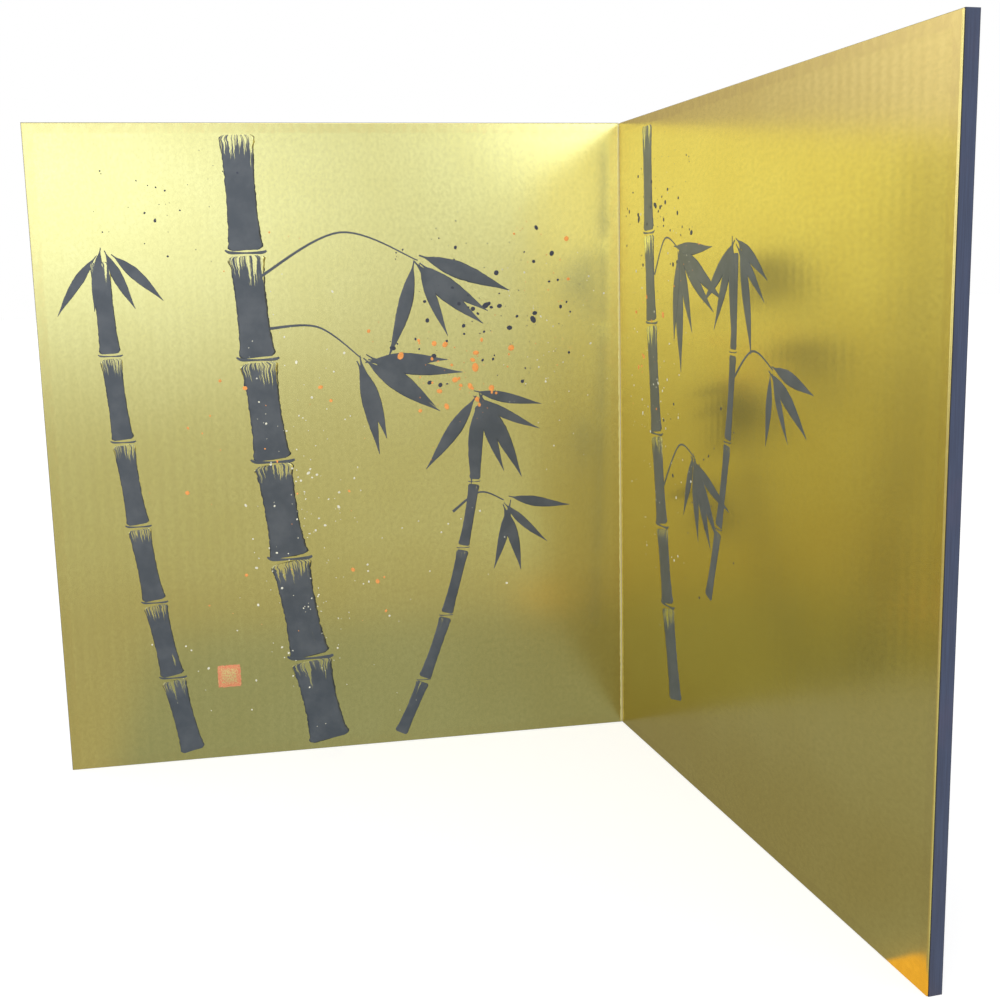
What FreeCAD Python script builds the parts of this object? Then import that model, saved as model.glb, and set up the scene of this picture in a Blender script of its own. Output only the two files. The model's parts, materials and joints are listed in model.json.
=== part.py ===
import FreeCAD, Part
import Sketcher
import math
import os

# A folding screen of two gold panels, standing half open on the floor.
# The origin is at floor level under the centre of the screen's box, +Z is up.
# Each panel is drawn as it lies when the screen is opened flat: X runs from the crease
# to the free edge (the left panel towards -X), Y from the gold face (0) to the back,
# Z from the floor. Its placement then turns it about the crease.

doc = FreeCAD.newDocument("FoldingScreen")

# Driving sizes in millimetres, angles in degrees.
size_rows = [
    ("panel_width", 910, "crease to free edge, tape included"),
    ("panel_height", 1000, "floor to top, tape included"),
    ("panel_thickness", 19, "gold face to back"),
    ("opening_angle", 94.2, "angle between the two gold faces"),
    ("face_paper", 0.4, "gold paper with its backing"),
    ("back_paper", 0.4, "navy paper on the back"),
    ("edge_tape", 0.6, "navy tape on the edges"),
    ("tape_inset", 2.6, "gold face to the tape, where the turned gold paper shows"),
    ("liner_board", 1, "board under each paper"),
    ("liner_round", 0.8, "round of the front board's arris"),
    ("frame_width", 15, "face width of stiles and rails"),
    ("pin_diameter", 3, "bamboo pin in each half-lap"),
    ("pin_clearance", 0.05, "play round the pin"),
    ("flute_pitch", 19.8, "distance between crests of the core"),
    ("flute_paper", 0.8, "thickness of the core's paper"),
    ("core_clearance", 0.2, "play between core and frame"),
    ("crest_share", 0.3, "flat part of each half flute"),
    ("edge_lining", 0.3, "paper on the edge in the fold"),
    ("wing_paper", 0.3, "thickness of the hinge papers"),
    ("wing_pairs", 3, "hinge papers of each kind"),
    ("wing_slit", 1, "slit between neighbouring hinge papers"),
    ("tab_width", 30, "pasted end of a hinge paper"),
    ("fold_clearance", 0.1, "play at the ends and sides of the hinge papers"),
    ("fold_standoff", 0.15, "fold line in front of the gold face, and behind the back"),
]
sheet = doc.addObject("Spreadsheet::Sheet", "Sizes")
for row, (alias, value, note) in enumerate(size_rows, start=1):
    sheet.set("A%d" % row, alias)
    sheet.set("B%d" % row, str(value))
    sheet.set("C%d" % row, note)
    sheet.setAlias("B%d" % row, alias)
doc.recompute()


def cell(alias):
    return "Sizes." + alias


def number(expression):
    """Value of an expression in the sheet's sizes."""
    return float(sheet.evalExpression(expression))


# Places that several pieces share, as expressions of the sizes.
width = cell("panel_width")
height = cell("panel_height")
thickness = cell("panel_thickness")
tape = cell("edge_tape")
tape_front = cell("tape_inset")
wing = cell("wing_paper")
clearance = cell("fold_clearance")
skin_side = "(%s - %s)" % (width, tape)
skin_foot = "(%s)" % tape
skin_top = "(%s - %s)" % (height, tape)
skin_back = "(%s - %s)" % (thickness, cell("back_paper"))
build_start = "(%s + %s)" % (wing, cell("edge_lining"))
build_side = "(%s - %s)" % (skin_side, cell("face_paper"))
build_foot = "(%s + %s)" % (skin_foot, cell("face_paper"))
build_top = "(%s - %s)" % (skin_top, cell("face_paper"))
build_front = "(%s)" % cell("face_paper")
frame_front = "(%s + %s)" % (build_front, cell("liner_board"))
frame_back = "(%s - %s)" % (skin_back, cell("liner_board"))
frame_middle = "((%s + %s) / 2)" % (frame_front, frame_back)
stile_inner = "(%s + %s)" % (build_start, cell("frame_width"))
stile_outer = "(%s - %s)" % (build_side, cell("frame_width"))
rail_foot = "(%s + %s)" % (build_foot, cell("frame_width"))
rail_top = "(%s - %s)" % (build_top, cell("frame_width"))
lap_middle = cell("frame_width") + " / 2"
lining_foot = "(%s + %s)" % (build_foot, cell("liner_round"))
lining_top = "(%s - %s)" % (build_top, cell("liner_round"))
turn = "(180 - %s)" % cell("opening_angle")
turn_sin = "sin(%s * 1 deg)" % turn
turn_cos = "cos(%s * 1 deg)" % turn
standoff = cell("fold_standoff")

# The box's centre, seen from the foot of the crease, gives the crease its place.
box_right = "(%s * %s + (%s + %s) * %s)" % (width, turn_cos, thickness, standoff, turn_sin)
box_near = "(%s * (1 - %s) + %s * %s - %s * %s)" % (
    standoff, turn_cos, width, turn_sin, tape_front, turn_cos)
crease_x = "((%s - %s) / 2)" % (width, box_right)
crease_y = "((%s - %s) / 2)" % (box_near, thickness)

# Side of the crease on which each panel lies when the screen is flat.
sides = {"left": -1, "right": 1}


def put_in_place(piece, side):
    """Turn a piece of one panel about the crease and set it on the floor."""
    if side == "left":
        piece.Placement = FreeCAD.Placement()
        piece.setExpression("Placement.Base.x", crease_x)
        piece.setExpression("Placement.Base.y", crease_y)
        return
    down = FreeCAD.Vector(0, 0, -1)
    piece.Placement = FreeCAD.Placement(FreeCAD.Vector(), FreeCAD.Rotation(down, number(turn)))
    piece.setExpression("Placement.Rotation.Angle", "%s * 1 deg" % turn)
    piece.setExpression("Placement.Base.x", "%s + %s * %s" % (crease_x, standoff, turn_sin))
    piece.setExpression("Placement.Base.y", "%s - %s * (1 - %s)" % (crease_y, standoff, turn_cos))


def new_body(label, side):
    body = doc.addObject("PartDesign::Body", label)
    body.Label = label
    body.AllowCompound = True
    put_in_place(body, side)
    return body


def origin_plane(body, role):
    for feature in body.Origin.OriginFeatures:
        if feature.Role == role:
            return feature
    raise ValueError(role)


def new_sketch(body, role, offset=None):
    """Empty sketch on one of the body's own planes, moved along the plane's normal."""
    sketch = body.newObject("Sketcher::SketchObject", body.Label + "_sketch")
    sketch.AttachmentSupport = (origin_plane(body, role), "")
    sketch.MapMode = "FlatFace"
    if offset:
        sketch.setExpression("AttachmentOffset.Base.z", offset)
    return sketch


def bind_x(sketch, sign, line, end, expression):
    """Fix a point's distance from the crease, on the panel's own side of it."""
    if expression is None:
        sketch.addConstraint(Sketcher.Constraint("PointOnObject", line, end, -2))
        return
    points = (-1, 1, line, end) if sign > 0 else (line, end, -1, 1)
    index = sketch.addConstraint(Sketcher.Constraint("DistanceX", *points, number(expression)))
    sketch.setExpression("Constraints[%d]" % index, expression)


def bind_y(sketch, line, end, expression):
    if expression is None:
        sketch.addConstraint(Sketcher.Constraint("PointOnObject", line, end, -1))
        return
    index = sketch.addConstraint(
        Sketcher.Constraint("DistanceY", -1, 1, line, end, number(expression)))
    sketch.setExpression("Constraints[%d]" % index, expression)


def add_rectangle(sketch, sign, near, far, low, high):
    """Rectangle bound to the sizes. None stands for the crease or the plane's own axis."""
    x_near = sign * (number(near) if near else 0)
    x_far = sign * number(far)
    y_low = number(low) if low else 0
    y_high = number(high)
    corners = [
        FreeCAD.Vector(x_near, y_low, 0),
        FreeCAD.Vector(x_far, y_low, 0),
        FreeCAD.Vector(x_far, y_high, 0),
        FreeCAD.Vector(x_near, y_high, 0),
    ]
    first = sketch.GeometryCount
    for index in range(4):
        sketch.addGeometry(Part.LineSegment(corners[index], corners[(index + 1) % 4]), False)
    for index in range(4):
        following = first + (index + 1) % 4
        sketch.addConstraint(Sketcher.Constraint("Coincident", first + index, 2, following, 1))
    for index, direction in enumerate(("Horizontal", "Vertical", "Horizontal", "Vertical")):
        sketch.addConstraint(Sketcher.Constraint(direction, first + index))
    bind_x(sketch, sign, first, 1, near)
    bind_x(sketch, sign, first, 2, far)
    bind_y(sketch, first, 1, low)
    bind_y(sketch, first + 2, 1, high)


def add_circle(sketch, sign, x_place, y_place, diameter):
    centre = FreeCAD.Vector(sign * number(x_place), number(y_place), 0)
    circle = Part.Circle(centre, FreeCAD.Vector(0, 0, 1), number(diameter) / 2)
    index = sketch.addGeometry(circle, False)
    bind_x(sketch, sign, index, 3, x_place)
    bind_y(sketch, index, 3, y_place)
    bound = sketch.addConstraint(Sketcher.Constraint("Diameter", index, number(diameter)))
    sketch.setExpression("Constraints[%d]" % bound, diameter)


def add_pad(body, sketch, length, reverse=False):
    pad = body.newObject("PartDesign::Pad", body.Label + "_pad")
    pad.Profile = sketch
    pad.Reversed = reverse
    pad.setExpression("Length", length)
    return pad


def add_pocket(body, sketch, depth, reverse=False):
    """Pocket against the sketch's normal, or along it, checked to take material away."""
    doc.recompute()
    before = body.Shape.Volume
    pocket = body.newObject("PartDesign::Pocket", body.Label + "_pocket")
    pocket.Profile = sketch
    pocket.Reversed = reverse
    if depth is None:
        pocket.Type = "ThroughAll"
    else:
        pocket.setExpression("Length", depth)
    doc.recompute()
    if body.Shape.Volume >= before:
        raise ValueError("pocket cut nothing in " + body.Label)
    return pocket


def add_fillet(body, base, chosen, radius):
    """Round the base feature's edges that the function chosen picks."""
    doc.recompute()
    names = ["Edge%d" % (index + 1) for index, edge in enumerate(base.Shape.Edges) if chosen(edge)]
    fillet = body.newObject("PartDesign::Fillet", body.Label + "_round")
    fillet.Base = (base, names)
    fillet.setExpression("Radius", radius)
    return fillet


def add_block(body, sign, near, far, front, back, foot, top):
    """Pad between two distances from the crease, two depths and two heights."""
    sketch = new_sketch(body, "XY_Plane", foot)
    add_rectangle(sketch, sign, near, far, front, back)
    return add_pad(body, sketch, "%s - %s" % (top, foot or "0"))


def on_line(edge, axis, places):
    """True for a straight edge along one axis that lies at the given places on the others."""
    box = edge.BoundBox
    low = {"x": box.XMin, "y": box.YMin, "z": box.ZMin}
    high = {"x": box.XMax, "y": box.YMax, "z": box.ZMax}
    near = edge.Length * 1e-3
    return high[axis] - low[axis] > edge.Length - near and all(
        abs(low[name] - place) + abs(high[name] - place) < near
        for name, place in places.items())


def arris_picker(sign, side_place, front_place, foot_place, top_place):
    """Pick the front arris along the free edge, the foot and the top."""
    x_side = sign * number(side_place)
    y_front = number(front_place) if front_place else 0
    z_foot = number(foot_place)
    z_top = number(top_place)

    def chosen(edge):
        return (on_line(edge, "z", {"x": x_side, "y": y_front})
                or on_line(edge, "x", {"y": y_front, "z": z_foot})
                or on_line(edge, "x", {"y": y_front, "z": z_top}))
    return chosen


def zone_span(zone, margin):
    """Foot and top of one hinge paper's zone, drawn in by a margin."""
    pitch = "((%s - %s) / (2 * %s))" % (lining_top, lining_foot, cell("wing_pairs"))
    foot = "(%s + %d * %s + %s)" % (lining_foot, zone, pitch, margin)
    top = "(%s + %d * %s - %s)" % (lining_foot, zone + 1, pitch, margin)
    return foot, top


def zones_of(kind):
    """Forward papers take the even zones from the floor up, reverse papers the odd ones."""
    first = 0 if kind == "forward" else 1
    return range(first, 2 * round(number(cell("wing_pairs"))), 2)


# Forward papers are pasted on the left front and the right back, reverse papers on the others.
tab_kind = {
    ("left", "front"): "forward",
    ("right", "back"): "forward",
    ("left", "back"): "reverse",
    ("right", "front"): "reverse",
}
wing_margin = cell("wing_slit") + " / 2"
recess_margin = "(%s - %s)" % (wing_margin, clearance)


def make_stile(side, name, near, far):
    """Upright of the inner frame, lapped at both ends: the front half stays."""
    sign = sides[side]
    body = new_body("%s_%s" % (side, name), side)
    add_block(body, sign, near, far, frame_front, frame_back, build_foot, build_top)
    for top in (rail_foot, build_top):
        lap = new_sketch(body, "XY_Plane", top)
        add_rectangle(lap, sign, near, far, frame_middle, frame_back)
        add_pocket(body, lap, cell("frame_width"))
    add_pin_holes(body, sign, [name])
    return body


def make_rail(side, name, foot, top):
    """Cross bar of the inner frame, lapped at both ends: the back half stays."""
    sign = sides[side]
    body = new_body("%s_%s" % (side, name), side)
    add_block(body, sign, build_start, build_side, frame_front, frame_back, foot, top)
    for near, far in ((build_start, stile_inner), (stile_outer, build_side)):
        lap = new_sketch(body, "XY_Plane", top)
        add_rectangle(lap, sign, near, far, frame_front, frame_middle)
        add_pocket(body, lap, cell("frame_width"))
    add_pin_holes(body, sign, [name])
    return body


pin_columns = {
    "hinge_stile": "(%s + %s)" % (build_start, lap_middle),
    "outer_stile": "(%s - %s)" % (build_side, lap_middle),
}
pin_rows = {
    "bottom_rail": "(%s + %s)" % (build_foot, lap_middle),
    "top_rail": "(%s - %s)" % (build_top, lap_middle),
}


def pin_places(names=None):
    """Centres of the pins, or of those that go through the named bar."""
    for column, x_place in pin_columns.items():
        for row, z_place in pin_rows.items():
            if names is None or column in names or row in names:
                yield x_place, z_place


def add_pin_holes(body, sign, names):
    holes = new_sketch(body, "XZ_Plane")
    for x_place, z_place in pin_places(names):
        add_circle(holes, sign, x_place, z_place,
                   "%s + 2 * %s" % (cell("pin_diameter"), cell("pin_clearance")))
    add_pocket(body, holes, None)


def make_lap_pins(side):
    """One bamboo pin through each of the four half-laps, flush with the frame."""
    body = new_body(side + "_lap_pins", side)
    pins = new_sketch(body, "XZ_Plane", "-" + frame_front)
    for x_place, z_place in pin_places():
        add_circle(pins, sides[side], x_place, z_place, cell("pin_diameter"))
    add_pad(body, pins, "%s - %s" % (frame_back, frame_front), reverse=True)
    return body


def flute_outline(start, end, front, back):
    """Closed outline of a sheet bent into flat-topped flutes, of one thickness throughout."""
    paper = number(cell("flute_paper"))
    flutes = max(1, round((end - start) / number(cell("flute_pitch"))))
    step = (end - start) / (2 * flutes)
    flat = step * number(cell("crest_share")) / 2
    slope = math.atan2(back - front - paper, step - 2 * flat)
    spread = paper / 2 * math.tan(slope / 2)
    near_side = []
    far_side = []
    for crest in range(2 * flutes + 1):
        at_front = crest % 2 == 0
        near_flat = flat + spread if at_front else flat - spread
        far_flat = flat - spread if at_front else flat + spread
        for way in (-1, 1):
            near_place = start + crest * step + way * near_flat
            far_place = start + crest * step + way * far_flat
            near_side.append((min(max(near_place, start), end), front if at_front else back - paper))
            far_side.append((min(max(far_place, start), end), front + paper if at_front else back))
    return near_side + far_side[::-1]


def make_fluted_core(side):
    """Paper core with upright flutes, glued to both boards along its flat crests."""
    sign = sides[side]
    play = number(cell("core_clearance"))
    foot = number(rail_foot) + play
    outline = flute_outline(number(stile_inner) + play, number(stile_outer) - play,
                            number(frame_front), number(frame_back))
    points = [FreeCAD.Vector(sign * x, y, foot) for x, y in outline]
    face = Part.Face(Part.makePolygon(points + points[:1]))
    core = doc.addObject("Part::Feature", side + "_fluted_core")
    core.Shape = face.extrude(FreeCAD.Vector(0, 0, number(rail_top) - play - foot))
    core.Label = side + "_fluted_core"
    put_in_place(core, side)
    return core


def make_liner(side, layer):
    """Board under one paper, let in where hinge papers are pasted over it."""
    sign = sides[side]
    body = new_body("%s_%s_liner" % (side, layer), side)
    front, back = (build_front, frame_front) if layer == "front" else (frame_back, skin_back)
    block = add_block(body, sign, build_start, build_side, front, back, build_foot, build_top)
    if layer == "front":
        picker = arris_picker(sign, build_side, build_front, build_foot, build_top)
        add_fillet(body, block, picker, cell("liner_round"))
    face = build_front if layer == "front" else skin_back
    recess = new_sketch(body, "XZ_Plane", "-" + face)
    for zone in zones_of(tab_kind[side, layer]):
        foot, top = zone_span(zone, recess_margin)
        add_rectangle(recess, sign, build_start, "%s + %s" % (cell("tab_width"), clearance),
                      foot, top)
    add_pocket(body, recess, wing, reverse=layer == "back")
    return body


def make_gold_face(side):
    """Gold paper over the whole front, turned round the free edge, the top and the foot."""
    sign = sides[side]
    body = new_body(side + "_gold_face", side)
    block = add_block(body, sign, None, skin_side, None, skin_back, skin_foot, skin_top)
    outer = arris_picker(sign, skin_side, None, skin_foot, skin_top)
    add_fillet(body, block, outer, "%s + %s" % (cell("liner_round"), cell("face_paper")))
    inside = new_sketch(body, "XY_Plane", build_top)
    add_rectangle(inside, sign, None, build_side, build_front, skin_back)
    hollow = add_pocket(body, inside, "%s - %s" % (build_top, build_foot))
    inner = arris_picker(sign, build_side, build_front, build_foot, build_top)
    add_fillet(body, hollow, inner, cell("liner_round"))
    return body


def make_plain_block(side, name, near, far, front, back, foot, top):
    body = new_body("%s_%s" % (side, name), side)
    add_block(body, sides[side], near, far, front, back, foot, top)
    return body


def make_hinge_tabs(side, layer):
    """Pasted ends of the hinge papers on one face of a panel, under its paper."""
    sign = sides[side]
    body = new_body("%s_%s_hinge_tabs" % (side, layer), side)
    face = build_front if layer == "front" else skin_back
    sketch = new_sketch(body, "XZ_Plane", "-" + face)
    for zone in zones_of(tab_kind[side, layer]):
        foot, top = zone_span(zone, wing_margin)
        add_rectangle(sketch, sign, None, cell("tab_width"), foot, top)
    add_pad(body, sketch, wing, reverse=layer == "front")
    return body


def make_wings(kind, side):
    """Middle of the hinge papers in the fold, lying on the edge of the panel they follow."""
    sign = sides[side]
    body = new_body(kind + "_wings", side)
    front = "(%s + %s)" % (build_front, clearance)
    back = "(%s - %s - %s)" % (skin_back, wing, clearance)
    sketch = new_sketch(body, "XZ_Plane", "-" + front)
    for zone in zones_of(kind):
        foot, top = zone_span(zone, wing_margin)
        add_rectangle(sketch, sign, None, wing, foot, top)
    add_pad(body, sketch, "%s - %s" % (back, front), reverse=True)
    return body


def make_panel(side):
    """All the pieces of one panel."""
    lining_front = "(%s + %s)" % (build_front, wing)
    lining_back = "(%s - %s)" % (skin_back, wing)
    return [
        make_stile(side, "hinge_stile", build_start, stile_inner),
        make_stile(side, "outer_stile", stile_outer, build_side),
        make_rail(side, "top_rail", rail_top, build_top),
        make_rail(side, "bottom_rail", build_foot, rail_foot),
        make_lap_pins(side),
        make_fluted_core(side),
        make_liner(side, "front"),
        make_liner(side, "back"),
        make_gold_face(side),
        make_plain_block(side, "back_paper", None, skin_side, skin_back, thickness,
                         skin_foot, skin_top),
        make_plain_block(side, "outer_edge_tape", skin_side, width, tape_front, thickness,
                         None, height),
        make_plain_block(side, "top_edge_tape", None, skin_side, tape_front, thickness,
                         skin_top, height),
        make_plain_block(side, "bottom_edge_tape", None, skin_side, tape_front, thickness,
                         None, skin_foot),
        make_plain_block(side, "hinge_edge_lining", wing, build_start, lining_front, lining_back,
                         lining_foot, lining_top),
        make_hinge_tabs(side, "front"),
        make_hinge_tabs(side, "back"),
    ]


pieces = make_panel("left") + make_panel("right")
pieces.append(make_wings("forward", "right"))
pieces.append(make_wings("reverse", "left"))
doc.recompute()

for item in doc.Objects:
    if "Invalid" in item.State or "Error" in item.State:
        raise ValueError("%s failed: %s" % (item.Label, item.State))
for piece in pieces:
    if piece.Shape.isNull() or not piece.Shape.isValid():
        raise ValueError(piece.Label + " has no valid shape")

os.makedirs("parts", exist_ok=True)
for piece in pieces:
    piece.Shape.exportStep(os.path.join("parts", piece.Label + ".step"))
    print(piece.Label, len(piece.Shape.Solids), round(piece.Shape.Volume))
print("crease at", number(crease_x), number(crease_y), "pieces", len(pieces))
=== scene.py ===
import json
import math
import random

import bpy
from mathutils import Matrix, Vector


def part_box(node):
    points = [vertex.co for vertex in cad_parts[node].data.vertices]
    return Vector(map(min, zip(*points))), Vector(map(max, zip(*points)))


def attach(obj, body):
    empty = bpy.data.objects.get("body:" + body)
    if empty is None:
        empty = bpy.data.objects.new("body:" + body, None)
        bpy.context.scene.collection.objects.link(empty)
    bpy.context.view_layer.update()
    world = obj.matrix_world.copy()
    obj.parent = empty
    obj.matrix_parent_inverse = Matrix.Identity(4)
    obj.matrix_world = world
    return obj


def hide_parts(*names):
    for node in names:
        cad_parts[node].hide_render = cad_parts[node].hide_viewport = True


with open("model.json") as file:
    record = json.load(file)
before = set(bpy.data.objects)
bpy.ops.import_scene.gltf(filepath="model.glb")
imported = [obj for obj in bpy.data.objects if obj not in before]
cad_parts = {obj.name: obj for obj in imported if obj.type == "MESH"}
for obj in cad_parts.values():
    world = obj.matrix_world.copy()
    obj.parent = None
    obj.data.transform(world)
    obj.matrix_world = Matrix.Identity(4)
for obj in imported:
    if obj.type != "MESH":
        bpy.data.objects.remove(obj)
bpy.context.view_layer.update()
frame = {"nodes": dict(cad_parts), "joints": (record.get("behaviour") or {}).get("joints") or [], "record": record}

scene = bpy.context.scene
scene.view_settings.view_transform = "Standard"

# Where the two panels stand, read from the frame
sides = ("left", "right")
joints = {joint["name"]: joint for joint in frame["joints"]}
foldLine = Vector(joints["forward_fold"]["pos_m"])
openAngle = math.radians(joints["forward_fold"]["range_deg"][1])
faceLow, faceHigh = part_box("left_gold_face")
crease = Vector((faceHigh.x, faceLow.y, 0))
faceWidth = faceHigh.x - faceLow.x
faceFoot = faceLow.z
faceTop = faceHigh.z
foldedDepth = faceHigh.y - faceLow.y
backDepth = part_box("left_back_paper")[1].y - faceLow.y
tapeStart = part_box("left_outer_edge_tape")[0].y - faceLow.y
coreLow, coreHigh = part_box("left_fluted_core")
ribCount = 44
ribPitch = (coreHigh.x - coreLow.x) / ribCount
ribStart = crease.x - coreHigh.x

# Panel coordinates: x from the crease outwards, y out of the gold face, z up
onLeft = Matrix.Translation(crease) @ Matrix.Diagonal((-1, -1, 1, 1))
aboutFold = (Matrix.Translation(foldLine) @ Matrix.Rotation(openAngle - math.pi, 4, "Z")
             @ Matrix.Translation(-foldLine))
onRight = aboutFold @ Matrix.Translation(crease) @ Matrix.Diagonal((1, -1, 1, 1))
panelPlace = {"left": onLeft, "right": onRight}


# Short forms for node trees. A noise is given by its scale, detail and roughness, a fade by where it starts
# and ends and its value at both
nodeGap = 60
soft = (0.3, 0.7)
firm = (0.35, 0.65)


class treeMaker:
    def __init__(self, tree):
        self.tree = tree
        self.left = 0

    def add(self, kind, inputs=None, **settings):
        node = self.tree.nodes.new(kind)
        self.left += nodeGap
        node.location = (self.left, 0)
        for name, value in settings.items():
            setattr(node, name, value)
        for name, value in (inputs or {}).items():
            self.feed(node.inputs[name], value)
        return node

    def feed(self, socket, value):
        if isinstance(value, bpy.types.NodeSocket):
            self.tree.links.new(value, socket)
        else:
            socket.default_value = value

    def math(self, operation, *values):
        return self.add("ShaderNodeMath", dict(enumerate(values)), operation=operation).outputs[0]

    def vector(self, operation, *values, result=0):
        inputs = dict(enumerate(values))
        return self.add("ShaderNodeVectorMath", inputs, operation=operation).outputs[result]

    def scaled(self, vector, factor):
        return self.add("ShaderNodeVectorMath", {0: vector, "Scale": factor}, operation="SCALE").outputs[0]

    def mapped(self, vector, scale):
        return self.add("ShaderNodeMapping", {"Vector": vector, "Scale": scale}).outputs[0]

    def mix(self, factor, first, second):
        node = self.add("ShaderNodeMix", data_type="RGBA")
        for index, value in ((0, factor), (6, first), (7, second)):
            self.feed(node.inputs[index], value)
        return node.outputs[2]

    def ramp(self, value, low, high, toLow=0.0, toHigh=1.0):
        inputs = {"Value": value, "From Min": low, "From Max": high, "To Min": toLow, "To Max": toHigh}
        return self.add("ShaderNodeMapRange", inputs, interpolation_type="SMOOTHSTEP").outputs[0]

    def noise(self, vector, scale, detail, rough, seed=0.0, coloured=False):
        inputs = {"Vector": vector, "Scale": scale, "Detail": detail, "Roughness": rough, "W": seed}
        return self.add("ShaderNodeTexNoise", inputs, noise_dimensions="4D").outputs[1 if coloured else 0]

    def split(self, vector):
        return self.add("ShaderNodeSeparateXYZ", {"Vector": vector}).outputs

    def join(self, x, y, z):
        return self.add("ShaderNodeCombineXYZ", {"X": x, "Y": y, "Z": z}).outputs[0]

    def product(self, value, *others):
        for other in others:
            value = self.math("MULTIPLY", value, other)
        return value

    def within(self, value, low, high):
        return self.math("MINIMUM", self.math("MAXIMUM", value, low), high)

    def inside(self, value, low, high):
        # How far a value lies inside the nearer of two ends
        return self.math("MINIMUM", self.math("SUBTRACT", value, low), self.math("SUBTRACT", high, value))

    def ribs(self, x, first, pitch):
        # 0 on the crests of the core's flutes, 1 half-way between them
        turns = self.math("DIVIDE", self.math("SUBTRACT", x, first), pitch)
        wave = self.math("COSINE", self.math("MULTIPLY", turns, 2 * math.pi))
        return self.math("MULTIPLY_ADD", wave, -0.5, 0.5)

    def objectPlace(self):
        return self.add("ShaderNodeTexCoord").outputs["Object"]


def colour(red, green, blue):
    return (red, green, blue, 1.0)


def darker(tone, share):
    return colour(*(part * share for part in tone[:3]))


def newMaterial(name, kind="ShaderNodeBsdfPrincipled"):
    material = bpy.data.materials.new(name)
    material.use_nodes = True
    material.node_tree.nodes.clear()
    maker = treeMaker(material.node_tree)
    shader = maker.add(kind)
    maker.add("ShaderNodeOutputMaterial", {"Surface": shader.outputs[0]})
    return material, maker, shader


def panelCoordinates(maker, side):
    # Object coordinates turned into the panel's own; y is flipped where the panel is a mirror image
    place = panelPlace[side].inverted()
    flip = Matrix.Diagonal((1, place.determinant(), 1))
    turned = maker.add("ShaderNodeMapping", {
        "Vector": maker.objectPlace(),
        "Rotation": (flip @ place.to_3x3()).to_euler(),
        "Location": flip @ place.translation,
    }, vector_type="POINT")
    return turned.outputs[0]


def bumped(maker, shader, height, depth):
    bump = maker.add("ShaderNodeBump", {"Height": height, "Distance": depth, "Strength": 1.0})
    maker.feed(shader.inputs["Normal"], bump.outputs[0])


# Gold paper
goldLook = {
    # Both panels carry the same gold paper; the right panel's tone and shade are painted darker and deeper yellow,
    # as painted shade and painted reflection of the left panel's gold
    "tone": {"left": colour(0.92, 0.88, 0.42), "right": colour(0.93, 0.80, 0.32)},
    "shade": {"left": colour(0.89, 0.84, 0.38), "right": colour(0.90, 0.76, 0.29)},
    "grazing": colour(0.80, 0.78, 0.78),
    "roughness": (0.183, 0.207),
    "cloud": (9.0, 4.0, 0.6),
    "fibre": (300.0, 3.0, 0.6),
    "grain": (1100.0, 2.0, 0.5),
    "grainShare": 0.4,
    "grainDepth": 0.000004,
    "speckle": (190.0, 2.0, 0.6),
    "speckleFade": (0.35, 0.7, 0.0, 0.6),
    "speckleShade": 0.9,
    "drawn": {"left": (1.0, 1.0, 0.7), "right": (0.6, 1.0, 1.0)},
    "band": colour(0.80, 0.66, 0.27),
    "bandShare": {"left": 0.30, "right": 0.65},
    "bandEdge": (0.013, 0.017),
    "bandLevels": (0.3, 0.8, 0.5, 1.0),
    "blotch": (70.0, 3.0, 0.6),
    "blotchReach": 0.010,
    "stain": (85.0, 3.0, 0.6),
    "stainDrawn": (1.0, 1.0, 0.6),
    "stainFade": (0.38, 0.62, 0.45, 1.45),
    "ribShade": 0.86,
    "ribShare": {"left": 0.24, "right": 0.32},
    "ribLevels": {"left": (0.66, 0.82, 1.0, 0.25), "right": (0.88, 0.95, 0.10, 1.0)},
    "ribAcross": (0.35, 0.60, 0.25, 1.0),
    "ribPatch": (6.0, 2.0, 0.5),
    "ribPatchFade": (0.3, 0.6, 0.5, 1.0),
    "arris": colour(0.98, 0.96, 0.80),
    "arrisFade": (-0.0006, -0.0001, 0.9, 0.0),
}


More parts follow.
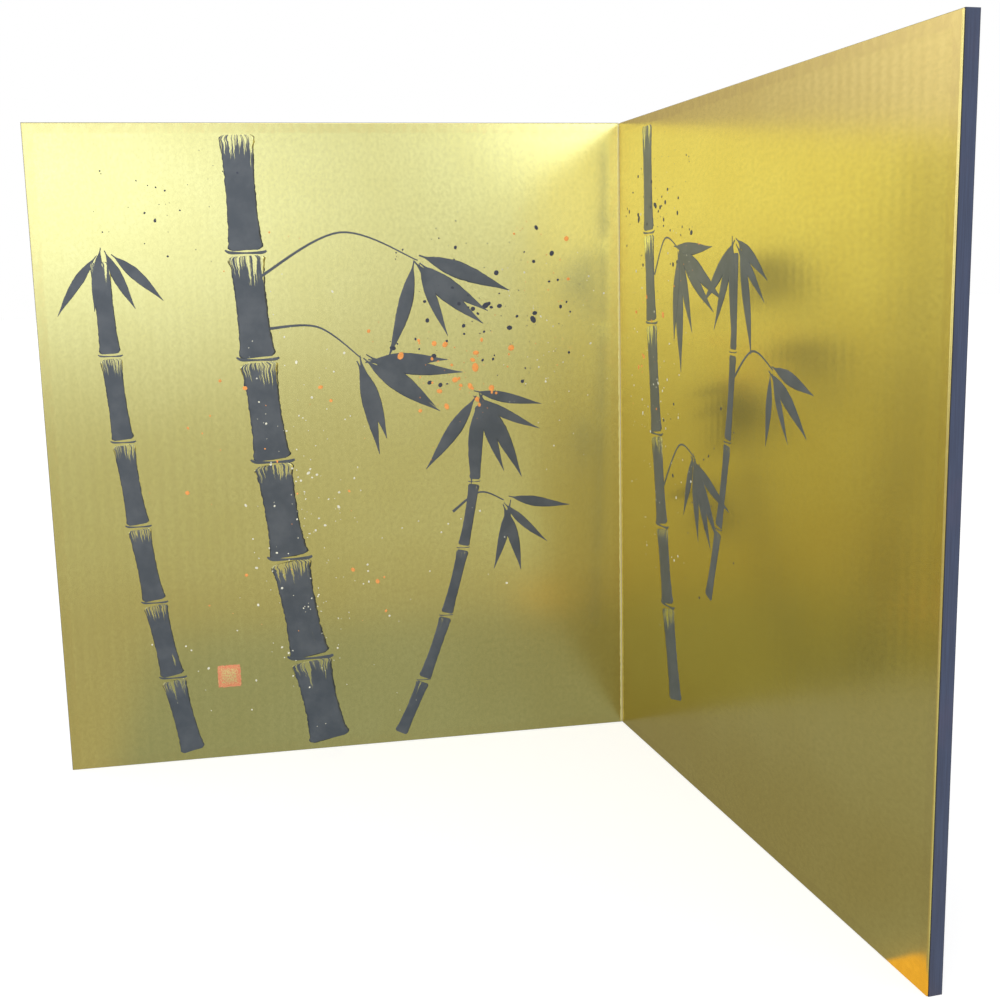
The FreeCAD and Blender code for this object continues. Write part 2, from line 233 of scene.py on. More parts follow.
def goldPaper(side):
    look = goldLook
    # Per-panel tone and shade: the right panel's hold painted shade and painted reflection
    tone, shade = look["tone"][side], look["shade"][side]
    material, maker, shader = newMaterial("gold_paper_" + side)
    place = panelCoordinates(maker, side)
    x, y, z = maker.split(place)
    drawn = maker.mapped(place, look["drawn"][side])
    cloud = maker.noise(place, *look["cloud"], seed=2.0 + sides.index(side))
    fibre = maker.noise(drawn, *look["fibre"])
    grain = maker.noise(place, *look["grain"])
    speckle = maker.noise(drawn, *look["speckle"])
    paint = maker.mix(maker.ramp(cloud, *soft), shade, tone)
    # The frame shows through as a blotchy, slightly browner band along the borders
    inset = maker.math("MINIMUM", maker.inside(x, 0.0, faceWidth), maker.inside(z, faceFoot, faceTop))
    blotch = maker.math("SUBTRACT", maker.noise(place, *look["blotch"]), 0.5)
    border = maker.math("MULTIPLY_ADD", blotch, look["blotchReach"], inset)
    stained = maker.noise(maker.vector("MULTIPLY", place, look["stainDrawn"]), *look["stain"], seed=7.0)
    onFrame = maker.product(maker.ramp(border, *look["bandEdge"], look["bandShare"][side], 0.0),
                            maker.ramp(z, *look["bandLevels"]), maker.ramp(stained, *look["stainFade"]))
    paint = maker.mix(onFrame, paint, look["band"])
    # The core's ribs show as faint upright streaks
    patch = maker.noise(place, *look["ribPatch"], seed=4.0)
    shown = maker.product(maker.ramp(z, *look["ribLevels"][side]), maker.ramp(x, *look["ribAcross"]),
                          maker.ramp(patch, *look["ribPatchFade"]), look["ribShare"][side])
    streaked = maker.math("MULTIPLY", maker.ribs(x, ribStart, ribPitch), shown)
    paint = maker.mix(streaked, paint, darker(shade, look["ribShade"]))
    # The folded edge is tinted paler
    paint = maker.mix(maker.ramp(y, *look["arrisFade"]), paint, look["arris"])
    paint = maker.mix(maker.ramp(speckle, *look["speckleFade"]), paint, darker(shade, look["speckleShade"]))
    maker.feed(shader.inputs["Base Color"], paint)
    maker.feed(shader.inputs["Roughness"], maker.ramp(fibre, *soft, *look["roughness"]))
    shader.inputs["Metallic"].default_value = 1.0
    shader.inputs["Specular Tint"].default_value = look["grazing"]
    height = maker.math("MULTIPLY", fibre, 1 - look["grainShare"])
    height = maker.math("ADD", height, maker.math("MULTIPLY", grain, look["grainShare"]))
    bumped(maker, shader, height, look["grainDepth"])
    return material


# Navy paper on the back, the edges and the hinges; a tape is streaked along one axis of the panel and has painted
# shadow as dark lines along both long borders
navyLook = {
    "tone": colour(0.045, 0.063, 0.125),
    "shade": colour(0.034, 0.045, 0.091),
    "violet": colour(0.064, 0.060, 0.113),
    # The darkest tone is painted shadow, laid along a tape's borders
    "edgeShadow": colour(0.018, 0.018, 0.030),
    "roughness": 0.62,
    "streak": (700.0, 3.0, 0.6),
    "streakDrawn": 0.02,
    "fibre": {"Scale": 160.0, "Detail": 3.0, "Distortion": 2.5},
    "fibreFade": (0.0, 0.05, 0.75, 0.3),
    "cloud": (12.0, 4.0, 0.6),
    "cloudFade": (0.5, 0.75, 0.0, 0.5),
    "edgeShadowFade": (0.0001, 0.0010, 0.75, 0.0),
    "crinkle": (420.0, 4.0, 0.65),
    "crinkleDepth": 0.00005,
    "streakHeight": 0.5,
}


def navyPaper(name, side, streakedAlong=None):
    look = navyLook
    material, maker, shader = newMaterial(name)
    place = panelCoordinates(maker, side)
    if streakedAlong:
        stretch = [look["streakDrawn"] if axis == streakedAlong else 1 for axis in "xyz"]
        streak = maker.noise(maker.mapped(place, stretch), *look["streak"])
    else:
        warped = maker.add("ShaderNodeTexNoise", {"Vector": place, **look["fibre"]}).outputs[0]
        streak = maker.math("ABSOLUTE", maker.math("SUBTRACT", warped, 0.5))
        streak = maker.ramp(streak, *look["fibreFade"])
    cloud = maker.noise(place, *look["cloud"])
    crinkle = maker.noise(place, *look["crinkle"])
    paint = maker.mix(maker.ramp(streak, *firm), look["shade"], look["tone"])
    paint = maker.mix(maker.ramp(cloud, *look["cloudFade"]), paint, look["violet"])
    # On a tape, painted shadow: a dark line along both long borders, where its edges stand proud
    if streakedAlong:
        depth = maker.math("ABSOLUTE", maker.split(place)[1])
        fromEdge = maker.inside(depth, tapeStart, backDepth)
        paint = maker.mix(maker.ramp(fromEdge, *look["edgeShadowFade"]), paint, look["edgeShadow"])
    maker.feed(shader.inputs["Base Color"], paint)
    shader.inputs["Roughness"].default_value = look["roughness"]
    height = maker.math("ADD", crinkle, maker.math("MULTIPLY", streak, look["streakHeight"]))
    bumped(maker, shader, height, look["crinkleDepth"])
    return material


# What lies under the papers: light and dark tone, how the grain is drawn out, roughness
innerLooks = {
    "frame_wood": {"tone": colour(0.50, 0.30, 0.14), "shade": colour(0.38, 0.21, 0.09), "drawn": (8, 8, 0.6),
                   "roughness": 0.6},
    "bamboo": {"tone": colour(0.55, 0.42, 0.18), "shade": colour(0.45, 0.33, 0.13), "drawn": (10, 0.6, 10),
               "roughness": 0.45},
    "core_board": {"tone": colour(0.45, 0.32, 0.18), "shade": colour(0.38, 0.26, 0.14), "drawn": (3, 3, 1),
                   "roughness": 0.8},
    "liner_board": {"tone": colour(0.62, 0.55, 0.42), "shade": colour(0.52, 0.45, 0.33), "drawn": (3, 3, 3),
                    "roughness": 0.8},
}
innerGrain = {"grain": (60.0, 5.0, 0.6), "fibre": (400.0, 2.0, 0.6), "fibreShare": 0.3, "depth": 0.00008}


def innerFinish(name):
    look = innerLooks[name]
    material, maker, shader = newMaterial(name)
    drawn = maker.mapped(maker.objectPlace(), look["drawn"])
    grain = maker.math("MULTIPLY", maker.noise(drawn, *innerGrain["grain"]), 1 - innerGrain["fibreShare"])
    fibre = maker.math("MULTIPLY", maker.noise(drawn, *innerGrain["fibre"]), innerGrain["fibreShare"])
    mixed = maker.math("ADD", grain, fibre)
    maker.feed(shader.inputs["Base Color"], maker.mix(maker.ramp(mixed, *firm), look["shade"], look["tone"]))
    shader.inputs["Roughness"].default_value = look["roughness"]
    bumped(maker, shader, mixed, innerGrain["depth"])
    return material


goldFinish = {side: goldPaper(side) for side in sides}
navyFinish = {side: navyPaper("navy_paper_" + side, side) for side in sides}
tapeUpright = {side: navyPaper("navy_tape_upright_" + side, side, "z") for side in sides}
tapeLevel = {side: navyPaper("navy_tape_level_" + side, side, "x") for side in sides}
innerFinishes = {name: innerFinish(name) for name in innerLooks}


def dressNodes():
    for part in frame["record"]["subparts"]:
        slot = part["material_slot"]
        side = "right" if part["node"].startswith("right") else "left"
        if slot == "gold_paper":
            finish = goldFinish[side]
        elif slot == "navy_tape":
            finish = tapeUpright[side] if "outer" in part["node"] else tapeLevel[side]
        elif slot in innerFinishes:
            finish = innerFinishes[slot]
        else:
            finish = navyFinish[side]
        mesh = frame["nodes"][part["node"]].data
        mesh.materials.clear()
        mesh.materials.append(finish)


dressNodes()
print("finishes on", len(frame["nodes"]), "nodes")


# Geometry Nodes trees: sizes are named inputs, set by their identifiers
def newTree(name, sizes, counts=()):
    tree = bpy.data.node_groups.new(name, "GeometryNodeTree")
    tree.interface.new_socket("Geometry", in_out="OUTPUT", socket_type="NodeSocketGeometry")
    tree.interface.new_socket("Geometry", in_out="INPUT", socket_type="NodeSocketGeometry")
    kinds = {"NodeSocketFloat": sizes, "NodeSocketInt": counts, "NodeSocketMaterial": ["Material"]}
    for kind, titles in kinds.items():
        for title in titles:
            tree.interface.new_socket(title, in_out="INPUT", socket_type=kind)
    maker = treeMaker(tree)
    entry = maker.add("NodeGroupInput").outputs
    return tree, maker, entry


def closeTree(maker, entry, geometry):
    real = maker.add("GeometryNodeRealizeInstances", {0: geometry}).outputs[0]
    finish = {"Geometry": real, "Material": entry["Material"]}
    dressed = maker.add("GeometryNodeSetMaterial", finish).outputs[0]
    maker.add("NodeGroupOutput", {0: dressed})


def runTree(piece, tree, sizes):
    modifier = piece.modifiers.new(tree.name, "NODES")
    modifier.node_group = tree
    for item in tree.interface.items_tree:
        if item.in_out == "INPUT" and item.name in sizes:
            modifier[item.identifier] = sizes[item.name]


def newMesh(name, points, faces, *finishes):
    mesh = bpy.data.meshes.new(name)
    mesh.from_pydata(points, [], faces)
    for finish in finishes:
        mesh.materials.append(finish)
    return mesh


def tubeFaces(size, rings):
    # Side faces and two ends of a closed tube whose points are listed ring by ring
    faces = []
    for ring in range(rings - 1):
        for corner in range(size):
            first, second = ring * size + corner, ring * size + (corner + 1) % size
            faces.append((first, first + size, second + size, second))
    faces.append(tuple(range(size)))
    faces.append(tuple((rings - 1) * size + corner for corner in reversed(range(size))))
    return faces


def placed(name, data):
    piece = bpy.data.objects.new(name, data)
    scene.collection.objects.link(piece)
    return piece


def plainMesh(piece, name, place):
    # The evaluated shape as a plain mesh, in its place; where the place mirrors, the faces are turned back
    view = bpy.context.evaluated_depsgraph_get()
    mesh = bpy.data.meshes.new_from_object(piece.evaluated_get(view), depsgraph=view)
    bpy.data.objects.remove(piece)
    mesh.transform(place)
    if place.determinant() < 0:
        mesh.flip_normals()
    mesh.shade_smooth()
    return placed(name, mesh)


def joined(pieces, name):
    with bpy.context.temp_override(active_object=pieces[0], selected_editable_objects=pieces):
        if len(pieces) > 1:
            bpy.ops.object.join()
    pieces[0].name = name
    return pieces[0]


# Paper drawn over the core: a sheet with rounded, turned-over borders, and the ribs felt through it
skinLook = {
    "fineStep": 0.0025,
    "rowStep": 0.0125,
    "fineReach": 0.025,
    "edgeStep": 0.0005,
    "creaseGap": 0.00005,
    "roundRadius": 0.0012,
    "roundSteps": 5,
    "turnedSteps": (0.0022, 0.0035, foldedDepth),
    "thickness": 0.0003,
    "ribDepth": {"left": 0.000014, "right": 0.000055},
    "ribPatch": (5.0, 1.0, 0.5),
    "ribPatchFade": (0.35, 0.65, 0.45, 1.0),
    "frameStep": {"left": 0.00002, "right": 0.00004},
    "frameFade": (-0.003, 0.006),
    "blotch": (60.0, 2.0, 0.5),
    "blotchFade": (0.4, 0.65),
    "blotchOnCore": 0.12,
    "borderFade": (0.001, 0.006),
    "faceDepth": 0.00001,
    "arrisDepth": 0.003,
    "wear": (150.0, 3.0, 0.6),
    "wearFade": (0.3, 0.7, -1.0, 0.0),
    "seeds": {"left_gold": 0.0, "left_back": 1.0, "right_gold": 3.0, "right_back": 4.0},
    "sizes": {"Pitch": ribPitch, "First crest": ribStart, "Frame width": 0.0156, "Blotch": 0.000015,
              "Unevenness": 0.00012, "Width": faceWidth, "Foot": faceFoot, "Top": faceTop},
}


def reliefTree():
    look = skinLook
    tree, maker, entry = newTree("paper_relief", [*look["sizes"], "Rib depth", "Frame step", "Seed"])
    seed = entry["Seed"]
    place = maker.add("GeometryNodeInputPosition").outputs[0]
    x, y, z = maker.split(place)
    fromBorder = maker.math("MINIMUM", maker.inside(x, 0.0, entry["Width"]),
                            maker.inside(z, entry["Foot"], entry["Top"]))
    overCore = maker.ramp(maker.math("SUBTRACT", fromBorder, entry["Frame width"]), *look["frameFade"])
    patch = maker.ramp(maker.noise(place, *look["ribPatch"], seed=seed), *look["ribPatchFade"])
    ribs = maker.product(maker.ribs(x, entry["First crest"], entry["Pitch"]), patch, entry["Rib depth"])
    sunk = maker.math("MULTIPLY", maker.math("ADD", ribs, entry["Frame step"]), overCore)
    blotch = maker.ramp(maker.noise(place, *look["blotch"], seed=seed), *look["blotchFade"])
    onFrame = maker.math("MULTIPLY_ADD", overCore, look["blotchOnCore"] - 1, 1.0)
    blotch = maker.product(maker.math("SUBTRACT", blotch, 0.5), onFrame, entry["Blotch"])
    sunk = maker.math("ADD", sunk, blotch)
    sunk = maker.math("MULTIPLY", sunk, maker.ramp(fromBorder, *look["borderFade"]))
    isFace = maker.math("GREATER_THAN", y, -look["faceDepth"])
    isArris = maker.math("MULTIPLY", maker.math("LESS_THAN", y, -look["faceDepth"]),
                         maker.math("GREATER_THAN", y, -look["arrisDepth"]))
    wear = maker.ramp(maker.noise(place, *look["wear"], seed=seed), *look["wearFade"])
    normal = maker.add("GeometryNodeInputNormal").outputs[0]
    offset = maker.scaled(normal, maker.math("MULTIPLY", wear, entry["Unevenness"]))
    worn = maker.add("GeometryNodeSetPosition", {"Geometry": entry["Geometry"], "Selection": isArris,
                                                 "Offset": offset}).outputs[0]
    offset = maker.join(0.0, maker.math("MULTIPLY", sunk, -1.0), 0.0)
    sagged = maker.add("GeometryNodeSetPosition", {"Geometry": worn, "Selection": isFace,
                                                   "Offset": offset}).outputs[0]
    closeTree(maker, entry, sagged)
    return tree


def steps(look, low, high, step):
    # Positions from low to high, close together near both ends
    fineCount = round(look["fineReach"] / look["fineStep"])
    near = [0.0, look["edgeStep"]] + [look["fineStep"] * count for count in range(1, fineCount + 1)]
    start, end = low + near[-1], high - near[-1]
    count = math.ceil((end - start) / step)
    between = [start + (end - start) * index / count for index in range(1, count)]
    return [low + part for part in near] + between + [high - part for part in reversed(near)]


def sheetMesh(look, rounded):
    # The sheet at y = 0, facing +y; its borders but the one at the crease turn over by the sheet's depth
    radius = look["roundRadius"] if rounded else 0.0
    across = steps(look, look["creaseGap"], faceWidth - radius, look["fineStep"])
    up = steps(look, faceFoot + radius, faceTop - radius, look["rowStep"])
    columns, rows = len(across), len(up)
    points = [(x, 0.0, z) for z in up for x in across]
    faces = []
    for row in range(rows - 1):
        for column in range(columns - 1):
            first = row * columns + column
            faces.append((first, first + columns, first + columns + 1, first + 1))
    if not rounded:
        return newMesh("sheet", points, faces)
    outer, topRow = columns - 1, (rows - 1) * columns
    rim = list(range(columns))
    rim += [row * columns + outer for row in range(1, rows - 1)]
    rim += list(range(topRow + outer, topRow - 1, -1))
    turns = [math.pi / 2 * step / look["roundSteps"] for step in range(1, look["roundSteps"] + 1)]
    loops = [(radius * math.sin(turn), radius * (1 - math.cos(turn))) for turn in turns]
    loops += [(radius, depth) for depth in look["turnedSteps"]]
    previous = rim
    for outward, depth in loops:
        ring = []
        for index in rim:
            x, _, z = points[index]
            if index % columns == outer:
                x += outward
            if index < columns:
                z -= outward
            elif index >= topRow:
                z += outward
            ring.append(len(points))
            points.append((x, -depth, z))
        for here in range(len(rim) - 1):
            faces.append((previous[here], previous[here + 1], ring[here + 1], ring[here]))
        previous = ring
    return newMesh("sheet", points, faces)


def makeSkins():
    look = skinLook
    tree = reliefTree()
    behind = Matrix.Translation((0, -backDepth, 0)) @ Matrix.Diagonal((1, -1, 1, 1))
    for side in sides:
        for layer, finish in (("gold", goldFinish[side]), ("back", navyFinish[side])):
            sheet = placed("sheet", sheetMesh(look, layer == "gold"))
            runTree(sheet, tree, {**look["sizes"], "Rib depth": look["ribDepth"][side],
                                  "Frame step": look["frameStep"][side], "Material": finish,
                                  "Seed": look["seeds"][f"{side}_{layer}"]})
            wall = sheet.modifiers.new("thickness", "SOLIDIFY")
            wall.thickness = look["thickness"]
            wall.offset = -1.0
            place = panelPlace[side] if layer == "gold" else panelPlace[side] @ behind
            skin = plainMesh(sheet, f"{side}_{layer}_skin", place)
            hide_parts(side + ("_gold_face" if layer == "gold" else "_back_paper"))
            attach(skin, side + "_panel")


makeSkins()
print("skins ready")

# Pale strip of gold paper along the fold, on the left panel's face
stripLook = {
    "start": 0.00005,
    "width": 0.00275,
    "height": 0.0001,
    "shoulder": 0.00008,
    "edge": 0.00002,
    "sunk": -0.0001,
    "margin": 0.001,
    "step": 0.004,
    "wander": 0.0004,
    "tone": colour(0.90, 0.81, 0.34),
    "roughness": 0.4,
    "metal": 0.6,
    "worn": (90.0, 4.0, 0.6),
    "wornDepth": 0.00005,
}


def makeStrip():
    look = stripLook
    material, maker, shader = newMaterial("crease_strip")
    worn = maker.noise(maker.objectPlace(), *look["worn"])
    paint = maker.mix(maker.ramp(worn, *soft), goldLook["tone"]["left"], look["tone"])
    maker.feed(shader.inputs["Base Color"], paint)
    shader.inputs["Roughness"].default_value = look["roughness"]
    shader.inputs["Metallic"].default_value = look["metal"]
    bumped(maker, shader, worn, look["wornDepth"])
    chance = random.Random(5)
    start, sunk, shoulder = look["start"], look["sunk"], look["shoulder"]
    low, high = faceFoot + look["margin"], faceTop - look["margin"]
    rows = math.ceil((high - low) / look["step"])
    points = []
    for row in range(rows + 1):
        z = low + (high - low) * row / rows
        end = start + look["width"] + look["wander"] * chance.uniform(-1, 1)
        middle, quarter = (start + end) / 2, (end - start) / 4
        section = [(start, sunk), (start, look["edge"]), (middle - quarter, shoulder),
                   (middle, look["height"]), (middle + quarter, shoulder), (end, 0.0), (end, sunk)]
        points += [(x, y, z) for x, y in section]
    mesh = newMesh("strip", points, tubeFaces(len(section), rows + 1), material)
    strip = plainMesh(placed("strip", mesh), "crease_strip", panelPlace["left"])
    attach(strip, "left_panel")


makeStrip()
print("crease strip ready")

# Brush painting of bamboo, in ink with gold showing through where the brush ran dry
inkLook = {
    "tone": colour(0.052, 0.066, 0.088),
    "washed": colour(0.082, 0.096, 0.118),
    "roughness": 0.28,
    "specular": 0.75,
    "depth": 0.00003,
    "cloud": (30.0, 4.0, 0.6),
    "cloudFade": (0.35, 0.7),
    "streak": (1.0, 4.0, 0.7),
    "streaksAcross": 9.0,
    "streaksAlong": 1.6,
    "streakShift": 3.0,
    "dryPatch": (14.0, 3.0, 0.6),
    "dryPatchFade": (0.5, 0.75, 0.0, 0.12),
    "dryEndFade": (0.62, 1.0, 0.0, 0.22),
    "dryWidths": (0.006, 0.014),
    "bareFade": (0.70, 0.74),
}
brushLook = {
    "layers": 11,
    "layerStep": 0.000004,
    "smoothing": 12,
    "thinnest": 0.0001,
    "ragged": (3.0, 0.65),
    "raggedReach": 4.0,
    "flatDepth": 0.0004,
    "sunk": -2.0,
    "sizes": {"Thickness": 0.00005, "Roughness": 0.07, "Roughness size": 110.0, "Sampling": 0.0022},
    "counts": {"Side faces": 12},
}


def inkFinish():
    look = inkLook
    material, maker, shader = newMaterial("slate_ink")
    place = maker.objectPlace()
    along, across, wide = (maker.add("ShaderNodeAttribute", attribute_name=name).outputs["Fac"]
                           for name in ("along", "across", "wide"))
    drawn = maker.join(maker.math("MULTIPLY", across, look["streaksAcross"]),
                       maker.math("MULTIPLY", along, look["streaksAlong"]), 0.0)
    shifted = maker.vector("ADD", drawn, maker.scaled(place, look["streakShift"]))
    streak = maker.noise(shifted, *look["streak"])
    patch = maker.noise(place, *look["dryPatch"])
    dryness = maker.ramp(along, *look["dryEndFade"])
    dryness = maker.math("ADD", dryness, maker.ramp(patch, *look["dryPatchFade"]))
    dryness = maker.math("MULTIPLY", dryness, maker.ramp(wide, *look["dryWidths"]))
    bare = maker.ramp(maker.math("ADD", streak, dryness), *look["bareFade"])
    cloud = maker.noise(place, *look["cloud"])
    ink = maker.mix(maker.ramp(cloud, *look["cloudFade"]), look["tone"], look["washed"])
    maker.feed(shader.inputs["Base Color"], maker.mix(bare, ink, goldLook["tone"]["left"]))
    maker.feed(shader.inputs["Metallic"], bare)
    goldRoughness = sum(goldLook["roughness"]) / 2
    maker.feed(shader.inputs["Roughness"], maker.ramp(bare, 0.0, 1.0, look["roughness"], goldRoughness))
    shader.inputs["Specular IOR Level"].default_value = look["specular"]
    bumped(maker, shader, maker.math("ADD", streak, cloud), look["depth"])
    return material


def stored(maker, geometry, name, kind, value):
    node = maker.add("GeometryNodeStoreNamedAttribute", {0: geometry, "Name": name}, data_type=kind,
                     domain="POINT")
    maker.feed(next(socket for socket in node.inputs if socket.name == "Value" and socket.enabled), value)
    return node.outputs[0]


def readBack(maker, name, kind):
    node = maker.add("GeometryNodeInputNamedAttribute", {"Name": name}, data_type=kind)
    return next(socket for socket in node.outputs if socket.name == "Attribute" and socket.enabled)


def brushTree():
    # Smooth tubes along the strokes, with ragged sides, pressed flat on the paper
    look = brushLook
    tree, maker, entry = newTree("brush_stroke", look["sizes"], look["counts"])
    line = maker.add("GeometryNodeCurveSplineType", {0: entry["Geometry"]},
                     spline_type="CATMULL_ROM").outputs[0]
    line = maker.add("GeometryNodeSetSplineResolution", {0: line, "Resolution": look["smoothing"]}).outputs[0]
    line = maker.add("GeometryNodeResampleCurve", {0: line, "Length": entry["Sampling"]},
                     mode="LENGTH").outputs[0]
    radius = maker.add("GeometryNodeInputRadius").outputs[0]
    tangent = maker.add("GeometryNodeInputTangent").outputs[0]
    here = maker.add("GeometryNodeInputPosition").outputs[0]
    kept = {
        "along": ("FLOAT", maker.add("GeometryNodeSplineParameter").outputs[0]),
        "wide": ("FLOAT", radius),
        "middle": ("FLOAT_VECTOR", here),
        "aside": ("FLOAT_VECTOR", maker.vector("CROSS_PRODUCT", tangent, (0, 1, 0))),
    }
    for name, (kind, value) in kept.items():
        line = stored(maker, line, name, kind, value)
    section = {"Resolution": entry["Side faces"], "Radius": 1.0}
    ring = maker.add("GeometryNodeCurvePrimitiveCircle", section).outputs[0]
    sweep = {0: line, 1: ring, "Scale": radius, "Fill Caps": True}
    tube = maker.add("GeometryNodeCurveToMesh", sweep).outputs[0]
    wide = readBack(maker, "wide", "FLOAT")
    middle = readBack(maker, "middle", "FLOAT_VECTOR")
    out = maker.vector("SUBTRACT", here, middle)
    sideways = maker.vector("DOT_PRODUCT", out, readBack(maker, "aside", "FLOAT_VECTOR"), result="Value")
    share = maker.math("DIVIDE", sideways, maker.math("MAXIMUM", wide, look["thinnest"]))
    tube = stored(maker, tube, "across", "FLOAT", share)
    ragged = maker.noise(here, entry["Roughness size"], *look["ragged"], coloured=True)
    ragged = maker.scaled(maker.vector("SUBTRACT", ragged, (0.5, 0.5, 0.5)), look["raggedReach"])
    ragged = maker.scaled(ragged, maker.math("MULTIPLY", wide, entry["Roughness"]))
    x, _, z = maker.split(maker.vector("ADD", here, ragged))
    layer = maker.split(middle)[1]
    height = maker.math("DIVIDE", maker.math("SUBTRACT", maker.split(here)[1], layer), look["flatDepth"])
    height = maker.math("MAXIMUM", maker.math("MINIMUM", height, 1.0), look["sunk"])
    height = maker.math("MULTIPLY_ADD", height, entry["Thickness"], layer)
    pressed = maker.add("GeometryNodeSetPosition", {"Geometry": tube, "Position": maker.join(x, height, z)})
    closeTree(maker, entry, pressed.outputs[0])
    return tree


# Stalks: where each starts and ends on its panel (x, z), how far it bows, width, how many joints
stalks = {
    "left": [
        {"from": (0.500, 0.012), "to": (0.600, 0.986), "bow": 0.022, "width": 0.064, "joints": 6},
        {"from": (0.720, 0.012), "to": (0.812, 0.800), "bow": 0.018, "width": 0.037, "joints": 6},
        {"from": (0.385, 0.012), "to": (0.235, 0.560), "bow": -0.030, "width": 0.021, "joints": 5},
    ],
    "right": [
        {"from": (0.235, 0.110), "to": (0.120, 0.986), "bow": -0.024, "width": 0.046, "joints": 6},
        {"from": (0.350, 0.300), "to": (0.430, 0.790), "bow": 0.022, "width": 0.022, "joints": 4},
    ],
}
# Sprays of leaves: where they hang from, how many, the way they point (in degrees, 0 outwards, 90 up) and
# the leaves' length
sprays = {
    "left": [
        {"at": (0.425, 0.640), "leaves": 6, "toward": 215, "fan": 85, "length": 0.165},
        {"at": (0.235, 0.575), "leaves": 6, "toward": 250, "fan": 120, "length": 0.145},
        {"at": (0.330, 0.790), "leaves": 5, "toward": 235, "fan": 80, "length": 0.150},
        {"at": (0.806, 0.812), "leaves": 5, "toward": 266, "fan": 92, "length": 0.105},
        {"at": (0.200, 0.400), "leaves": 4, "toward": 240, "fan": 75, "length": 0.120},
    ],
    "right": [
        {"at": (0.235, 0.800), "leaves": 6, "toward": 300, "fan": 100, "length": 0.170},
        {"at": (0.430, 0.800), "leaves": 6, "toward": 280, "fan": 115, "length": 0.145},
        {"at": (0.300, 0.500), "leaves": 5, "toward": 290, "fan": 85, "length": 0.140},
        {"at": (0.540, 0.640), "leaves": 4, "toward": 310, "fan": 80, "length": 0.125},
    ],
}
# Fine twigs from the stalks to the sprays
twigs = {
    "left": [
        ((0.565, 0.690), (0.490, 0.690), (0.425, 0.640)),
        ((0.575, 0.770), (0.450, 0.835), (0.330, 0.790)),
        ((0.285, 0.385), (0.240, 0.415), (0.200, 0.400)),
    ],
    "right": [
        ((0.150, 0.760), (0.190, 0.812), (0.235, 0.800)),
        ((0.185, 0.440), (0.245, 0.510), (0.300, 0.500)),
        ((0.415, 0.610), (0.480, 0.660), (0.540, 0.640)),
    ],
}


# Strokes are shaped by shares of their length, with the width there as a share of the full width
stalkLook = {
    "shares": (0.0, 0.03, 0.10, 0.3, 0.5, 0.7, 0.90, 0.97, 1.0),
    "swell": (0.80, 1.06, 0.99, 0.90, 0.88, 0.90, 0.98, 1.06, 0.82),
    "taper": 0.22,
    "gap": 0.0042,
    "jointWander": 0.012,
    "jointDrop": 0.02,
    "hook": [(-1.06, 0.10), (-0.8, 0.02), (0.0, 0.0), (0.8, 0.03), (1.08, 0.16)],
    "hookSwell": (0.10, 0.16, 0.09, 0.16, 0.08),
    "hookReach": 0.56,
}
leafLook = {
    "shares": (0.0, 0.08, 0.2, 0.38, 0.56, 0.74, 0.88, 1.0),
    "swell": (0.10, 0.16, 0.62, 1.0, 0.92, 0.60, 0.26, 0.04),
    "turnWander": 7,
    "length": (0.72, 1.05),
    "width": (0.13, 0.17),
    "bend": 0.12,
    "wanderAcross": 0.012,
    "wanderUp": 0.008,
    "twigWidths": (0.0045, 0.003, 0.002),
}


def addStroke(curve, points, widths):
    # Each stroke lies a few thousandths of a millimetre higher than the one before, so that none coincide
    layer = brushLook["layerStep"] * (len(curve.splines) % brushLook["layers"])
    spline = curve.splines.new("POLY")
    spline.points.add(len(points) - 1)
    for slot, (x, z), width in zip(spline.points, points, widths):
        slot.co = (x, layer, z, 1)
        slot.radius = width / 2


def stalkStrokes(curve, stalk, chance):
    look = stalkLook
    (x0, z0), (x1, z1) = stalk["from"], stalk["to"]
    joints = stalk["joints"]
    length = math.hypot(x1 - x0, z1 - z0)
    aside = ((z1 - z0) / length, (x0 - x1) / length)

    def spot(share):
        bow = stalk["bow"] * 4 * share * (1 - share)
        return (x0 + (x1 - x0) * share + aside[0] * bow, z0 + (z1 - z0) * share + aside[1] * bow)

    def width(share):
        return stalk["width"] * (1 - look["taper"] * share)

    cuts = [0.0]
    for joint in range(1, joints):
        wander = chance.uniform(-look["jointWander"], look["jointWander"])
        cuts.append(joint / joints + wander - look["jointDrop"] * math.sin(math.pi * joint / joints))
    cuts.append(1.0)
    gap = look["gap"] / length
    for low, high in zip(cuts, cuts[1:]):
        low, high = low + gap, high - gap
        points = [spot(low + (high - low) * share) for share in look["shares"]]
        addStroke(curve, points, [width((low + high) / 2) * size for size in look["swell"]])
    for cut in cuts[1:-1]:
        x, z = spot(cut)
        half = width(cut) * look["hookReach"]
        points = [(x + half * across, z + half * up) for across, up in look["hook"]]
        addStroke(curve, points, [half * size for size in look["hookSwell"]])


def leafStroke(curve, at, angle, length, width, bend):
    ahead = (math.cos(angle), math.sin(angle))
    aside = (-ahead[1], ahead[0])
    points = []
    for share in leafLook["shares"]:
        off = bend * share * share
        points.append((at[0] + length * (ahead[0] * share + aside[0] * off),
                       at[1] + length * (ahead[1] * share + aside[1] * off)))
    addStroke(curve, points, [width * size for size in leafLook["swell"]])


def sprayStrokes(curve, spray, chance):
    look = leafLook
    x, z = spray["at"]
    for leaf in range(spray["leaves"]):
        share = leaf / (spray["leaves"] - 1) - 0.5
        wander = chance.uniform(-look["turnWander"], look["turnWander"])
        angle = math.radians(spray["toward"] + spray["fan"] * share + wander)
        length = spray["length"] * chance.uniform(*look["length"])
        at = (x + chance.uniform(-look["wanderAcross"], look["wanderAcross"]),
              z + chance.uniform(-look["wanderUp"], look["wanderUp"]))
        width = length * chance.uniform(*look["width"])
        leafStroke(curve, at, angle, length, width, chance.uniform(-look["bend"], look["bend"]))


